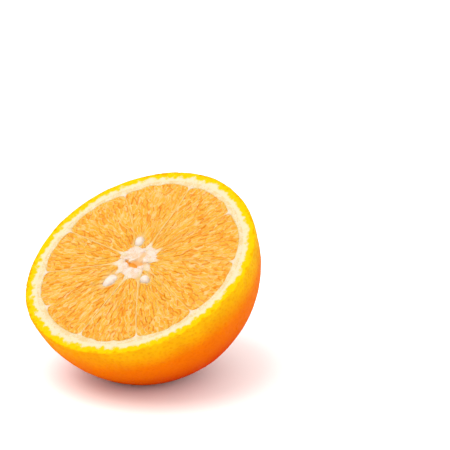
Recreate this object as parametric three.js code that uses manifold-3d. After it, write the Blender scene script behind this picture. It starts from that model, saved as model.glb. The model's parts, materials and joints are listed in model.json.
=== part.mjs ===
// Half of a sweet orange, cut across its middle, leaning on a small flat spot of its rind.
// Millimetres, +Z up. The origin is the centre of the rest spot. The cut face looks up and towards -Y.
// The fruit grew as one piece, so it is one solid. Its three pips are loose in their pockets.

import * as THREE from "three";
import { mergeVertices } from "three/addons/utils/BufferGeometryUtils.js";
import Module from "manifold-3d";

// ---- driving dimensions -------------------------------------------------

const FRUIT_RADIUS = 40;        // from the fruit's axis to the rind, at the cut
const FRUIT_DEPTH = 42.3;       // from the cut face to the end of the fruit
const FACE_LEAN = 30.3;         // degrees that the cut face leans over towards -Y
const REST_SPOT_RADIUS = 11;    // of the flat that the fruit settles on
const UNEVENNESS = 0.35;        // how far the rind swells and dips as it grew

const PEEL_THICKNESS = 6;       // rind and white pith together
const WALL_THICKNESS = 1;       // between neighbouring segments
const CORE_RADIUS = 6.4;        // of the white core that the walls run into, on average
const FLESH_DROP = 0.5;         // how far the flesh sits below the cut rind and walls
const SEGMENT_CORNER = 2.6;     // rounding of a segment's outer corners
const SEGMENT_BULGE = 0.5;      // how far a segment swells into the pith between its corners

// Where each wall meets the pith, in degrees around the face from +X.
const WALL_ANGLES = [15, 55, 92, 133, 172, 205, 233, 267, 302, 335];

// How much further out than the core's radius each segment's tip lies, from the first wall round.
const TIP_OFFSETS = [-0.6, -0.3, -0.7, 0.8, 1.3, 0.8, 0.5, 1.4, -1.2, -1.8];

const CORE_HOLLOW_X = -0.2;     // the middle of the slit that opens in the core as the fruit ripens
const CORE_HOLLOW_Y = -1.2;
const CORE_HOLLOW_LENGTH = 6.4;
const CORE_HOLLOW_WIDTH = 2.4;
const CORE_HOLLOW_DEPTH = 2.6;
const CORE_HOLLOW_HEADING = 10; // degrees around the face from +X

const SCAR_RADIUS = 5;          // the dimple round the scar at the fruit's end
const SCAR_DEPTH = 0.7;

const PIP_CLEARANCE = 0.3;      // between a pip and its pocket
const PIP_DROP = 0.1;           // from the cut face down to the top of a pip
const PIP_TAPER = 0.22;         // how much narrower a pip is at its pointed end

// Each pip: its angle around the face, how far its middle lies out from the core's edge, its length,
// width and depth, and the angle that its point looks along.
const PIPS = [
  { name: "seed_1", angle: 124.4, out: 3.15, length: 4.6, width: 3.6, depth: 5.2, heading: 105 },
  { name: "seed_2", angle: 242, out: 5.5, length: 6.8, width: 4.5, depth: 6, heading: 250 },
  { name: "seed_3", angle: 314.6, out: 2.8, length: 4.4, width: 3.4, depth: 5, heading: 340 },
];

// ---- how finely the round shapes are drawn ------------------------------

const RIND_SIDES = 64;
const RIND_STEPS = 18;
const SCAR_STEPS = 4;
const CORNER_STEPS = 4;
const PIP_SIDES = 16;
const PIP_STEPS = 9;

const degrees = THREE.MathUtils.degToRad;

// ---- solids -------------------------------------------------------------

const wasm = await Module();
wasm.setup();

// A closed geometry as a solid. Points that meet are merged, and slivers with no area are dropped.
function solid(geometry) {
  const bare = geometry.clone();
  bare.deleteAttribute("normal");
  bare.deleteAttribute("uv");
  const merged = mergeVertices(bare, 1e-4);
  const corners = merged.index.array;
  const kept = [];
  for (let i = 0; i < corners.length; i += 3) {
    const [a, b, c] = [corners[i], corners[i + 1], corners[i + 2]];
    if (a !== b && b !== c && c !== a) {
      kept.push(a, b, c);
    }
  }
  const mesh = new wasm.Mesh({
    numProp: 3,
    vertProperties: new Float32Array(merged.attributes.position.array),
    triVerts: new Uint32Array(kept),
  });
  return new wasm.Manifold(mesh);
}

// A solid as a geometry again.
function geometryOf(manifold) {
  const mesh = manifold.getMesh();
  const geometry = new THREE.BufferGeometry();
  geometry.setAttribute("position", new THREE.BufferAttribute(mesh.vertProperties, 3));
  geometry.setIndex(new THREE.BufferAttribute(mesh.triVerts, 1));
  geometry.computeVertexNormals();
  return geometry;
}

// ---- the frame of the cut face ------------------------------------------
// Everything is drawn around the middle of the cut face: +Z out of the face, +Y up its slope.

const lean = degrees(FACE_LEAN);

// The lowest point of the leaning fruit, and how far the flat cuts into it there.
const reach = Math.hypot(FRUIT_RADIUS * Math.sin(lean), FRUIT_DEPTH * Math.cos(lean));
const flatCut = reach - Math.sqrt(reach ** 2 - REST_SPOT_RADIUS ** 2);
const faceHeight = reach - flatCut;

// The lowest point lies a little off the middle's plumb line where the depth isn't the radius.
const lowestSide = (FRUIT_RADIUS ** 2 - FRUIT_DEPTH ** 2) * Math.sin(lean) * Math.cos(lean) / reach;

const fruit = new THREE.Group();
fruit.rotation.x = lean;
fruit.position.set(0, lowestSide, faceHeight);
fruit.updateMatrixWorld(true);

// ---- rind ---------------------------------------------------------------

// How far the rind stands out at an angle round the fruit. It fades out towards the end.
function swell(angle, fromEnd) {
  const waves = Math.sin(2 * angle - 1.9) + 0.6 * Math.sin(3 * angle + 1.9) + 0.4 * Math.sin(5 * angle);
  return UNEVENNESS * waves * Math.sin(fromEnd) ** 2;
}

// The outline from the scar at the fruit's end to the rim, then across the cut face.
function rindOutline() {
  const outline = [];
  const scarAngle = SCAR_RADIUS / FRUIT_DEPTH;
  for (let i = 0; i < SCAR_STEPS; i += 1) {
    const fromEnd = scarAngle * i / SCAR_STEPS;
    const dimple = SCAR_DEPTH * Math.cos(Math.PI / 2 * i / SCAR_STEPS) ** 2;
    outline.push(new THREE.Vector2(
      FRUIT_RADIUS * Math.sin(fromEnd),
      dimple - FRUIT_DEPTH * Math.cos(fromEnd),
    ));
  }
  for (let i = 0; i <= RIND_STEPS; i += 1) {
    const fromEnd = scarAngle + (Math.PI / 2 - scarAngle) * i / RIND_STEPS;
    const height = i === RIND_STEPS ? 0 : -FRUIT_DEPTH * Math.cos(fromEnd);
    outline.push(new THREE.Vector2(FRUIT_RADIUS * Math.sin(fromEnd), height));
  }
  outline.push(new THREE.Vector2(0, 0));
  return outline;
}

function halfFruit() {
  const geometry = new THREE.LatheGeometry(rindOutline(), RIND_SIDES);
  geometry.rotateX(Math.PI / 2);
  const place = geometry.attributes.position;
  for (let i = 0; i < place.count; i += 1) {
    const [x, y, z] = [place.getX(i), place.getY(i), place.getZ(i)];
    const away = Math.hypot(x, y);
    if (away > 0) {
      const fromEnd = Math.atan2(away / FRUIT_RADIUS, -z / FRUIT_DEPTH);
      const grown = 1 + swell(Math.atan2(y, x), fromEnd) / FRUIT_RADIUS;
      place.setXY(i, x * grown, y * grown);
    }
  }
  return solid(geometry);
}

// What lies below the surface that the fruit rests on, in the frame of the cut face.
function groundBlock() {
  const wide = 4 * FRUIT_RADIUS;
  const block = new THREE.BoxGeometry(wide, wide, wide);
  block.translate(0, 0, -wide / 2);
  block.applyMatrix4(fruit.matrixWorld.clone().invert());
  return solid(block);
}

// ---- segments -----------------------------------------------------------

// A point at a distance out along a ray, and off to its left.
function besideRay(angle, out, left) {
  return new THREE.Vector2(
    out * Math.cos(angle) - left * Math.sin(angle),
    out * Math.sin(angle) + left * Math.cos(angle),
  );
}

// The flesh between two walls, seen from above: a wedge with a round tip and a swelling outer side.
function segmentOutline(start, end, tipRadius) {
  const fleshRadius = FRUIT_RADIUS - PEEL_THICKNESS;
  const half = WALL_THICKNESS / 2;
  const middle = (start + end) / 2;
  const turn = SEGMENT_CORNER / fleshRadius;
  const shape = new THREE.Shape();
  const startIn = besideRay(start, tipRadius, half);
  const startOut = besideRay(start, fleshRadius - SEGMENT_CORNER, half);
  const startCorner = besideRay(start, fleshRadius, half);
  const startArc = besideRay(start + turn, fleshRadius + SEGMENT_BULGE / 2, half);
  const crown = besideRay(middle, fleshRadius + 2 * SEGMENT_BULGE, 0);
  const endArc = besideRay(end - turn, fleshRadius + SEGMENT_BULGE / 2, -half);
  const endCorner = besideRay(end, fleshRadius, -half);
  const endOut = besideRay(end, fleshRadius - SEGMENT_CORNER, -half);
  const endIn = besideRay(end, tipRadius, -half);
  const tip = besideRay(middle, tipRadius - half, 0);
  shape.moveTo(startIn.x, startIn.y);
  shape.lineTo(startOut.x, startOut.y);
  shape.quadraticCurveTo(startCorner.x, startCorner.y, startArc.x, startArc.y);
  shape.quadraticCurveTo(crown.x, crown.y, endArc.x, endArc.y);
  shape.quadraticCurveTo(endCorner.x, endCorner.y, endOut.x, endOut.y);
  shape.lineTo(endIn.x, endIn.y);
  shape.quadraticCurveTo(tip.x, tip.y, startIn.x, startIn.y);
  return shape;
}

// The shallow pan that each segment's flesh leaves below the walls.
function segmentPan(start, end, tipRadius) {
  const pan = new THREE.ExtrudeGeometry(segmentOutline(start, end, tipRadius), {
    depth: 2 * FLESH_DROP,
    bevelEnabled: false,
    curveSegments: CORNER_STEPS,
  });
  pan.translate(0, 0, -FLESH_DROP);
  return solid(pan);
}

// ---- core ---------------------------------------------------------------

function coreHollow() {
  const hollow = new THREE.SphereGeometry(1, PIP_SIDES, PIP_STEPS);
  hollow.scale(CORE_HOLLOW_LENGTH / 2, CORE_HOLLOW_WIDTH / 2, CORE_HOLLOW_DEPTH);
  hollow.rotateZ(degrees(CORE_HOLLOW_HEADING));
  hollow.translate(CORE_HOLLOW_X, CORE_HOLLOW_Y, 0);
  return solid(hollow);
}

// ---- pips ---------------------------------------------------------------

// Narrows a shape towards +X, its pointed end.
function taper(geometry, halfLength) {
  const place = geometry.attributes.position;
  for (let i = 0; i < place.count; i += 1) {
    const narrowing = 1 - PIP_TAPER * place.getX(i) / halfLength;
    place.setXYZ(i, place.getX(i), place.getY(i) * narrowing, place.getZ(i) * narrowing);
  }
}

// Tapering lifts the crown of a pip above half its depth, a little behind its middle.
const crownAt = (1 - Math.sqrt(1 + 8 * PIP_TAPER ** 2)) / (4 * PIP_TAPER);
const pipCrown = Math.sqrt(1 - crownAt ** 2) * (1 - PIP_TAPER * crownAt);

// The middle of a pip on the cut face.
function pipPlace(pip) {
  return besideRay(degrees(pip.angle), CORE_RADIUS + pip.out, 0);
}

// A pip grown by a margin, lying with its point along its heading and its top below the cut face.
function pipShape(pip, margin) {
  const halfLength = pip.length / 2 + margin;
  const shape = new THREE.SphereGeometry(1, PIP_SIDES, PIP_STEPS);
  shape.rotateX(Math.PI / 2);
  shape.scale(halfLength, pip.width / 2 + margin, pip.depth / 2 + margin);
  taper(shape, halfLength);
  const place = pipPlace(pip);
  shape.rotateZ(degrees(pip.heading));
  shape.translate(place.x, place.y, -PIP_DROP - pip.depth / 2 * pipCrown);
  return shape;
}

// The way up from a pip's middle to the open, as wide as the pip and its clearance.
function pipMouth(pip) {
  const halfLength = pip.length / 2 + PIP_CLEARANCE;
  const mouth = new THREE.CylinderGeometry(1, 1, pip.depth, PIP_SIDES);
  mouth.rotateX(Math.PI / 2);
  mouth.scale(halfLength, pip.width / 2 + PIP_CLEARANCE, 1);
  taper(mouth, halfLength);
  const place = pipPlace(pip);
  mouth.rotateZ(degrees(pip.heading));
  mouth.translate(place.x, place.y, 0);
  return mouth;
}

function pipPocket(pip) {
  return solid(pipShape(pip, PIP_CLEARANCE)).add(solid(pipMouth(pip)));
}

// ---- the half fruit -----------------------------------------------------

function halfOrange() {
  let body = halfFruit().subtract(groundBlock());
  WALL_ANGLES.forEach((start, i) => {
    const last = i === WALL_ANGLES.length - 1;
    const end = last ? WALL_ANGLES[0] + 360 : WALL_ANGLES[i + 1];
    const tipRadius = CORE_RADIUS + TIP_OFFSETS[i];
    body = body.subtract(segmentPan(degrees(start), degrees(end), tipRadius));
  });
  body = body.subtract(coreHollow());
  for (const pip of PIPS) {
    body = body.subtract(pipPocket(pip));
  }
  return geometryOf(body);
}

// ---- the object ---------------------------------------------------------

const rindAndFlesh = new THREE.MeshStandardMaterial({
  color: "#fb9a0c",
  roughness: 0.45,
  metalness: 0,
});
const pipIvory = new THREE.MeshStandardMaterial({
  color: "#f6ead8",
  roughness: 0.35,
  metalness: 0,
});

const orangeHalf = new THREE.Mesh(halfOrange(), rindAndFlesh);
orangeHalf.name = "orange_half";
fruit.add(orangeHalf);

for (const pip of PIPS) {
  const seed = new THREE.Mesh(pipShape(pip, 0), pipIvory);
  seed.name = pip.name;
  fruit.add(seed);
}

const object = new THREE.Group();
object.add(fruit);

export default object;
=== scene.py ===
# %% [markdown]
# # Half of a sweet orange
#
# A ripe orange has been cut across its middle, and one half leans on a small flat spot of its rind.
# We rebuild it from the outside in, the way the fruit is put together:
#
# 1. the rind, thin and oily, with a pit over each oil gland
# 2. the white pith inside it
# 3. the core and the walls, which are thin sheets of the same white tissue
# 4. the segments, each packed with juice sacs
# 5. the pips
#
# The first cell loads the fixed frame that the looks are built around.

import json
import math

import bpy
import numpy as np
from mathutils import Matrix, Vector
from mathutils.kdtree import KDTree


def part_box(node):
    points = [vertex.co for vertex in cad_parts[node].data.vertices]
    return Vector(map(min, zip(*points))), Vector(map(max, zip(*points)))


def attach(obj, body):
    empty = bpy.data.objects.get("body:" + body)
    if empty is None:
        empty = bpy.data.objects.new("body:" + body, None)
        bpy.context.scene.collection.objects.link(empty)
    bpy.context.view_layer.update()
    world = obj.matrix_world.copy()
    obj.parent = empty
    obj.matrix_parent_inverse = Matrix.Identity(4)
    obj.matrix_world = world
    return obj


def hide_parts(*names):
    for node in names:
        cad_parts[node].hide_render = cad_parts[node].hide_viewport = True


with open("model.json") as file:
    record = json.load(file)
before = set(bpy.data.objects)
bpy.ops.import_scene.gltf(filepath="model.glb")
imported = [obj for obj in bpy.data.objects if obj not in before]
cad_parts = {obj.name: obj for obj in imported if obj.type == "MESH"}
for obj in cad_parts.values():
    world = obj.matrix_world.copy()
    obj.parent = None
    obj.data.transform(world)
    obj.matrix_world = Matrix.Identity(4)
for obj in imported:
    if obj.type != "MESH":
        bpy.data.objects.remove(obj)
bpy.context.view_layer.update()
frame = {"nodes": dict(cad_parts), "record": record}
print("frame nodes:", sorted(frame["nodes"]))

# %% [markdown]
# ## Where things are
#
# Most of this fruit is easiest to think of from its cut face: a flat disc, with the fruit hanging
# below it. So every piece is shaped in millimetres in the face's own frame (+Z out of the face,
# +Y up its slope), and one matrix then sets it down in the row's frame, leaning, in metres.
# The frame's cut_face mount gives that plane. Its point lies on the cut peel, below the middle.

# %% The face's own frame
MM = 0.001
MOUNT_FROM_MIDDLE = 37.4        # mm from the middle of the face down to the mount's point

mounts = {mount["name"]: mount for mount in frame["record"]["mounts"]}
face_normal = Vector(mounts["cut_face"]["axis"]).normalized()
lean = math.atan2(-face_normal.y, face_normal.z)
up_slope = Vector((0, math.cos(lean), math.sin(lean)))
face_middle = Vector(mounts["cut_face"]["pos_m"]) + up_slope * MOUNT_FROM_MIDDLE * MM
face_to_row = (
    Matrix.Translation(face_middle) @ Matrix.Rotation(lean, 4, "X") @ Matrix.Scale(MM, 4)
)
print("lean, degrees:", round(math.degrees(lean), 2))
print("middle of the face, mm:", [round(x / MM, 2) for x in face_middle])

# %% Sizes of the fruit, in millimetres and degrees
FRUIT_RADIUS = 40.0
FRUIT_DEPTH = 42.3
UNEVENNESS = 0.35               # how far the fruit swells from a true round
RIND_THICKNESS = 4.0            # the coloured, oily part of the peel, and its change into pith
FLESH_RADIUS = 34.0             # where the pith ends and the segments begin
SEGMENT_CORNER = 1.7            # the radius of its two outer corners
SEGMENT_BULGE = 0.6             # how far its back bulges into the pith
ARM_LENGTH = 2.1                # how quickly the core's arms thin out along the walls
WALL_HALF = 0.13                # half a wall's thickness, where it is thinnest
OVERLAP = 0.07                  # how far walls and pith run on under the flesh beside them
WALL_ANGLES = [15, 55, 92, 133, 172, 205, 233, 267, 302, 335]
TIP_RADII = [5.8, 6.1, 5.7, 7.2, 7.7, 7.2, 6.9, 7.8, 5.2, 4.6]
SEGMENTS = len(WALL_ANGLES)
print(SEGMENTS, "segments, flesh radius", FLESH_RADIUS, "mm")

# %% [markdown]
# ## Moulding points
#
# Operators give each piece its body and its mesh, and its points are then moved to where the tissue
# grew. Three small helpers do that: one reads the points, one sets them down in the row's frame, and
# one notes a number on each point for the finish to read later. What grows is never quite even, so
# the last helpers add layers of soft noise, each with its height, the size of its bumps and a seed.

# %% Helpers for points
def deselect():
    if bpy.context.object and bpy.context.object.mode != "OBJECT":
        bpy.ops.object.mode_set(mode="OBJECT")
    bpy.ops.object.select_all(action="DESELECT")


def places(piece):
    points = np.empty(3 * len(piece.data.vertices))
    piece.data.vertices.foreach_get("co", points)
    return points.reshape(-1, 3)


def mould(piece, points):
    """Sets the piece's points, given in the face's frame in millimetres, down in the row's frame."""
    matrix = np.array(face_to_row)
    moved = points @ matrix[:3, :3].T + matrix[:3, 3]
    piece.data.vertices.foreach_set("co", moved.astype(np.float32).ravel())
    piece.data.update()


def note(piece, name, values):
    """Writes one number per point, for the material to read."""
    attribute = piece.data.attributes.new(name, "FLOAT", "POINT")
    attribute.data.foreach_set("value", np.asarray(values, np.float32))


def ease(low, high, x):
    """Goes softly from 0 to 1 as x goes from low to high."""
    t = np.clip((x - low) / (high - low), 0, 1)
    return t * t * (3 - 2 * t)


print("an ease, in five steps:", np.round(ease(0, 4, np.arange(5)), 2).tolist())


# %% Soft noise
def soft_noise(points, cell, seed):
    """Smooth noise from -1 to 1, with bumps about one cell wide.

    Each corner of a cell gets a height scrambled from its place, and a point blends its corners.
    """
    p = np.asarray(points, float) / cell + 100.0 * np.array([1.0, 1.7, 2.3])[: points.shape[1]]
    low = np.floor(p).astype(np.int64)
    part = p - low
    part = part * part * (3 - 2 * part)
    total = np.zeros(len(p))
    for corner in np.ndindex(*([2] * p.shape[1])):
        at = low + corner
        code = seed * 1013 + at[:, 0] * 374761 + at[:, 1] * 668265
        if p.shape[1] > 2:
            code = code + at[:, 2] * 982451
        code = (code ^ (code >> 13)) * 1274126 % 2147483647
        code = (code ^ (code >> 11)) % 65536
        weight = np.prod(np.where(corner, part, 1 - part), axis=1)
        total += weight * (code / 32767.5 - 1)
    return total


def layers(points, *each):
    """Adds up layers of soft noise, each with its height, the size of its bumps and a seed."""
    return sum(height * soft_noise(points, size, seed) for height, size, seed in each)


def cut_waves(x, y):
    """The slight waves that a knife leaves in soft tissue, in millimetres."""
    return layers(np.stack([x, y], axis=1), (0.06, 7.0, 21), (0.035, 1.7, 22))


def sponge(x, y):
    """The fine unevenness of spongy white tissue, in millimetres."""
    return layers(np.stack([x, y], axis=1), (0.05, 0.7, 23))


spread = np.linspace(-FLESH_RADIUS, FLESH_RADIUS, 50)
print("the knife's waves, mm:", np.round(np.ptp(cut_waves(spread, spread)), 2))

# %% [markdown]
# ## The rind
#
# The skin of an orange is close to a ball, a little uneven, with a pit over each oil gland. A ball
# made of rings would crowd its points at the poles, and the pits would come out uneven, so we start
# from an icosphere, whose triangles are all about the same size. We bisect it at the face, inset
# the cut again and again to draw the ring of rind that the knife has opened, and extrude the rest
# of the cut down to make the inside of the peel. Only then are the points moved to their real
# places: swelling, pits and the small scar at the fruit's end, which the flower left.

# %% Cut a ball, and open it into a shell
RIND_DETAIL = 8
RING_STEPS = [0.14, 0.22, 0.3, 0.36, 0.42, 0.42, 0.42, 0.42, 0.42, 0.42, 0.46]
SHELL_STEPS = 7
SHELL_STEP = 1.0                # until the points are moved
SLIVER = 0.13                   # points closer than this, left along the cut, become one

deselect()
bpy.ops.mesh.primitive_ico_sphere_add(subdivisions=RIND_DETAIL, radius=FRUIT_RADIUS)
rind = bpy.context.object
rind.name = "rind"
bpy.ops.object.mode_set(mode="EDIT")
bpy.ops.mesh.select_all(action="SELECT")
bpy.ops.mesh.bisect(plane_co=(0, 0, 0), plane_no=(0, 0, 1), clear_outer=True)
bpy.ops.mesh.select_mode(type="EDGE")
bpy.ops.mesh.select_all(action="SELECT")
bpy.ops.mesh.remove_doubles(threshold=SLIVER)
bpy.ops.mesh.select_all(action="DESELECT")
bpy.ops.mesh.select_non_manifold()
bpy.ops.mesh.edge_face_add()
bpy.ops.mesh.select_mode(type="FACE")
for step in RING_STEPS:
    bpy.ops.mesh.inset(thickness=step, depth=0)
for step in range(SHELL_STEPS):
    bpy.ops.mesh.extrude_region_move(TRANSFORM_OT_translate={"value": (0, 0, -SHELL_STEP)})
bpy.ops.object.mode_set(mode="OBJECT")
print("rind:", len(rind.data.vertices), "points,", len(rind.data.polygons), "faces")

# %% [markdown]
# The oil glands are spread the way seeds sit in a sunflower: each one a golden angle further round
# than the last. That keeps them evenly apart without lining them up, and a little jitter finishes
# it. A k-d tree then tells each point of the skin how far away its nearest gland is.

# %% Spread the oil glands
GLAND_PITCH = 1.42
GLAND_JITTER = 0.3              # as a share of the pitch
GOLDEN_ANGLE = math.pi * (3 - math.sqrt(5))
rng = np.random.default_rng(7)


def gland_directions():
    count = int(2 * math.pi * FRUIT_RADIUS**2 / GLAND_PITCH**2)
    index = np.arange(count)
    down = (index + 0.5) / count
    away = np.sqrt(1 - down**2)
    turn = index * GOLDEN_ANGLE
    spots = np.stack([away * np.cos(turn), away * np.sin(turn), -down], axis=1)
    spots += rng.normal(0, GLAND_JITTER * GLAND_PITCH / FRUIT_RADIUS, spots.shape)
    return spots / np.linalg.norm(spots, axis=1)[:, None]


def nearest(spots, points):
    """For each point, how far the nearest spot is, and which one it is."""
    tree = KDTree(len(spots))
    for i, spot in enumerate(spots):
        tree.insert(spot, i)
    tree.balance()
    found = [tree.find(point) for point in points]
    return np.array([f[2] for f in found]), np.array([f[1] for f in found])


glands = gland_directions()
gland_depth = rng.uniform(0.45, 1.0, len(glands))
print(len(glands), "oil glands")

# %% [markdown]
# Three things shape the skin: soft lumps, the pits, which leave low pillows between them, and the
# scar, a dimple with furrows running into it and a small button in its middle. Under them all, the
# whole fruit is a little uneven as it goes round, and every other piece swells with it.

# %% How the fruit swells
SWELL_WAVES = [(2, 1.0, -1.9), (3, 0.6, 1.9), (5, 0.4, 0.0)]    # how many round, height, turn


def swell(angle, from_end):
    waves = sum(high * np.sin(count * angle + turn) for count, high, turn in SWELL_WAVES)
    return UNEVENNESS * waves * np.sin(from_end) ** 2


def grown(points):
    """Swells points round the fruit's axis as the whole fruit did."""
    away = np.hypot(points[:, 0], points[:, 1])
    from_end = np.arctan2(away / FRUIT_RADIUS, -np.minimum(points[:, 2], 0) / FRUIT_DEPTH)
    scale = 1 + swell(np.arctan2(points[:, 1], points[:, 0]), from_end) / FRUIT_RADIUS
    result = points.copy()
    result[:, :2] *= scale[:, None]
    return result


print("swells by up to", round(swell(np.linspace(0, 2 * math.pi, 90), math.pi / 2).max(), 2), "mm")

# %% Relief of the skin
PIT_DEPTH = 0.19
PIT_WIDTH = 0.36
PILLOW_HEIGHT = 0.07
SCAR_RADIUS = 5.0
SCAR_DEPTH = 0.7
FURROWS = 9
FURROW_DEPTH = 0.14
BUTTON_RADIUS = 1.5
BUTTON_HEIGHT = 0.4


def scar_relief(angle, from_scar):
    """The dimple that the flower left, the furrows that run into it, and the button inside it."""
    dimple = SCAR_DEPTH * np.cos(np.pi / 2 * np.clip(from_scar / SCAR_RADIUS, 0, 1)) ** 2
    furrows = FURROW_DEPTH * np.cos(FURROWS * angle + 1.5 * np.sin(2 * angle))
    furrows *= ease(1.2, 3.0, from_scar) * (1 - ease(4.5, 10, from_scar))
    button = BUTTON_HEIGHT * (1 - ease(BUTTON_RADIUS * 0.5, BUTTON_RADIUS, from_scar))
    return furrows + button - dimple


def skin_relief(ways):
    """How far the skin stands out each way, how deep in a pit it is, and whether on the scar."""
    gap, which = nearest(glands, ways)
    gap = gap * FRUIT_RADIUS
    pit = np.exp(-((gap / PIT_WIDTH) ** 2)) * gland_depth[which]
    pillow = PILLOW_HEIGHT * ease(0.1, 0.8, gap)
    lumps = layers(ways * FRUIT_RADIUS, (0.13, 6.5, 3), (0.05, 2.6, 4))
    from_scar = np.arccos(np.clip(-ways[:, 2], -1, 1)) * FRUIT_RADIUS
    calm = 0.2 + 0.8 * ease(1.5, 4.5, from_scar)
    out = calm * (pillow + lumps - PIT_DEPTH * pit)
    out += scar_relief(np.arctan2(ways[:, 1], ways[:, 0]), from_scar)
    return out, pit * calm, 1 - ease(BUTTON_RADIUS * 0.6, BUTTON_RADIUS * 1.6, from_scar)


print("pits", PIT_DEPTH, "mm deep, scar", SCAR_DEPTH, "mm deep")

# %% Shape the rind
SHELL_TURN = math.radians(86)   # how far round the inside runs, before a flat face closes it
RIM_DROP = 0.13                 # the knife leaves the skin's edge a little round
SPONGY_WIDTH = 2.0              # the inner part of the ring, which is already like pith
HAIR = 0.02                     # points this close to the ball's surface belong to the skin


def shape_rind():
    points = places(rind)
    away = np.hypot(points[:, 0], points[:, 1])
    radius = np.linalg.norm(points, axis=1)
    skin = radius > FRUIT_RADIUS - HAIR
    rim = skin & (points[:, 2] > -SLIVER)
    inside = ~skin & (points[:, 2] < -SHELL_STEP / 2)
    ring = ~skin & ~inside
    from_skin = np.where(skin, 0, FRUIT_RADIUS - away)
    pit, scar = np.zeros(len(points)), np.zeros(len(points))

    ways = points[skin] / radius[skin][:, None]
    out, pit[skin], scar[skin] = skin_relief(ways)
    points[skin] = ways * (FRUIT_RADIUS + out)[:, None]
    points[rim, 2] = -RIM_DROP
    spongy = ease(RIND_THICKNESS - SPONGY_WIDTH, RIND_THICKNESS, from_skin[ring])
    points[ring, 2] = cut_waves(points[ring, 0], points[ring, 1])
    points[ring, 2] += spongy * sponge(points[ring, 0], points[ring, 1])

    turn = -points[inside, 2] / (SHELL_STEPS * SHELL_STEP) * SHELL_TURN
    inner = FRUIT_RADIUS - RIND_THICKNESS
    spoke = points[inside, :2] / away[inside][:, None]
    points[inside, :2] = spoke * (inner * np.cos(turn))[:, None]
    points[inside, 2] = -inner * np.sin(turn)

    points[:, 2] *= FRUIT_DEPTH / FRUIT_RADIUS
    mould(rind, grown(points))
    note(rind, "from_skin", from_skin)
    note(rind, "pit", pit)
    note(rind, "scar", scar)


shape_rind()
print("rind, mm across:", np.round(np.ptp(places(rind), axis=0) / MM, 1).tolist())

# %% [markdown]
# The half fruit has settled onto a small flat spot. Points that would lie below the ground are
# lifted to it, with a soft turn at the edge of the spot, as when a peel gives under the weight.

# %% Settle the rind on the ground
SETTLE_SOFTNESS = 0.12 * MM


def settle(piece):
    points = places(piece)
    height = points[:, 2]
    points[:, 2] = (height + np.sqrt(height**2 + SETTLE_SOFTNESS**2)) / 2
    piece.data.vertices.foreach_set("co", points.astype(np.float32).ravel())
    piece.data.update()


def finish_mesh(piece, angle=60):
    """Turns all faces outwards, and smooths the shading wherever they meet at less than an angle."""
    deselect()
    piece.select_set(True)
    bpy.context.view_layer.objects.active = piece
    bpy.ops.object.mode_set(mode="EDIT")
    bpy.ops.mesh.select_all(action="SELECT")
    bpy.ops.mesh.normals_make_consistent(inside=False)
    bpy.ops.object.mode_set(mode="OBJECT")
    bpy.ops.object.shade_smooth_by_angle(angle=math.radians(angle))
    piece.select_set(False)


settle(rind)
finish_mesh(rind)
print("lowest point of the rind, mm:", round(places(rind)[:, 2].min() / MM, 3))

# %% [markdown]
# ## How the face is divided
#
# Ten walls run out from the core to the pith. None is quite straight. The pieces on both sides of
# each boundary (segment and wall, segment and pith, segment and core) ask the same few functions
# where it runs, so they fit each other wherever a number changes.

# %% Walls, corners and tips
CORE_EDGE = 6.0                 # about where the walls run into the core
WALL_BOW = 1.6                  # degrees to either side
wall_bow = rng.uniform(-WALL_BOW, WALL_BOW, SEGMENTS)
wall_arm = rng.uniform(0.6, 1.2, SEGMENTS)


def wall_angle(which, radius):
    """The angle of a wall, in radians, at a distance from the middle. Walls are numbered round."""
    turns, index = divmod(which, SEGMENTS)
    along = np.clip((radius - CORE_EDGE) / (FLESH_RADIUS - CORE_EDGE), 0, 1)
    bow = wall_bow[index] * np.sin(math.pi * along)
    return np.radians(WALL_ANGLES[index] + 360 * turns + bow)


def wall_half(which, segment, radius):
    """Half the thickness of a wall, on the side of one of the two segments that it parts.

    It widens round the segment's outer corner, and where the core reaches out along it.
    """
    past = np.clip(radius - (FLESH_RADIUS - SEGMENT_CORNER), 0, SEGMENT_CORNER)
    corner = SEGMENT_CORNER - np.sqrt(SEGMENT_CORNER**2 - past**2)
    from_tip = np.maximum(radius - TIP_RADII[segment % SEGMENTS], 0)
    arm = wall_arm[which % SEGMENTS] * np.exp(-((from_tip / ARM_LENGTH) ** 1.3))
    return WALL_HALF + corner + arm


def turn_between(angle, middle):
    """How far an angle lies from a middle, the short way round."""
    return (angle - middle + math.pi) % (2 * math.pi) - math.pi


def outer_reach(which, across):
    """Where a segment meets the pith, from one wall (-1) to the next (1), without its corners."""
    wave = layers(np.stack([across * 3.2, np.full_like(across, which)], axis=1), (0.35, 1.0, 11))
    return FLESH_RADIUS + SEGMENT_BULGE * (1 - across**2) + wave * (1 - across**4)


def segment_sides(which, radius):
    """The angles between which a segment lies, at a distance from the middle."""
    start = wall_angle(which, radius) + wall_half(which, which, radius) / radius
    end = wall_angle(which + 1, radius) - wall_half(which + 1, which, radius) / radius
    return start, end


def pith_reach(angle):
    """Where the pith ends and the flesh begins, at each angle round the face."""
    reach = np.full_like(angle, FLESH_RADIUS)
    for k in range(SEGMENTS):
        start, end = segment_sides(k, np.array(FLESH_RADIUS))
        across = turn_between(angle, (start + end) / 2) / ((end - start) / 2)
        here = np.abs(across) < 1
        reach[here] = outer_reach(k, across[here])
    return reach


print("walls bow by up to", round(np.abs(wall_bow).max(), 1), "degrees")

# %% [markdown]
# ## Tissue from a flat sheet
#
# The core, the walls and the segments all start in the same way: a flat grid, with its rim extruded
# down step by step into a skirt, and the skirt closed at the bottom. That gives a closed body whose
# top has a fine, even mesh, where the knife's cut shows, and whose hidden sides are cheap. In this
# unit sheet x and y run from -1 to 1 and z counts the steps of the skirt, so each piece only needs
# one function that says where a point (x, y, step) really goes.
#
# Every skirt runs down inside the bowl of the pith. Its steps crowd together near the cut, where the
# light still reaches, and each hangs a share of the way down to the end of the fruit.

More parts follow.
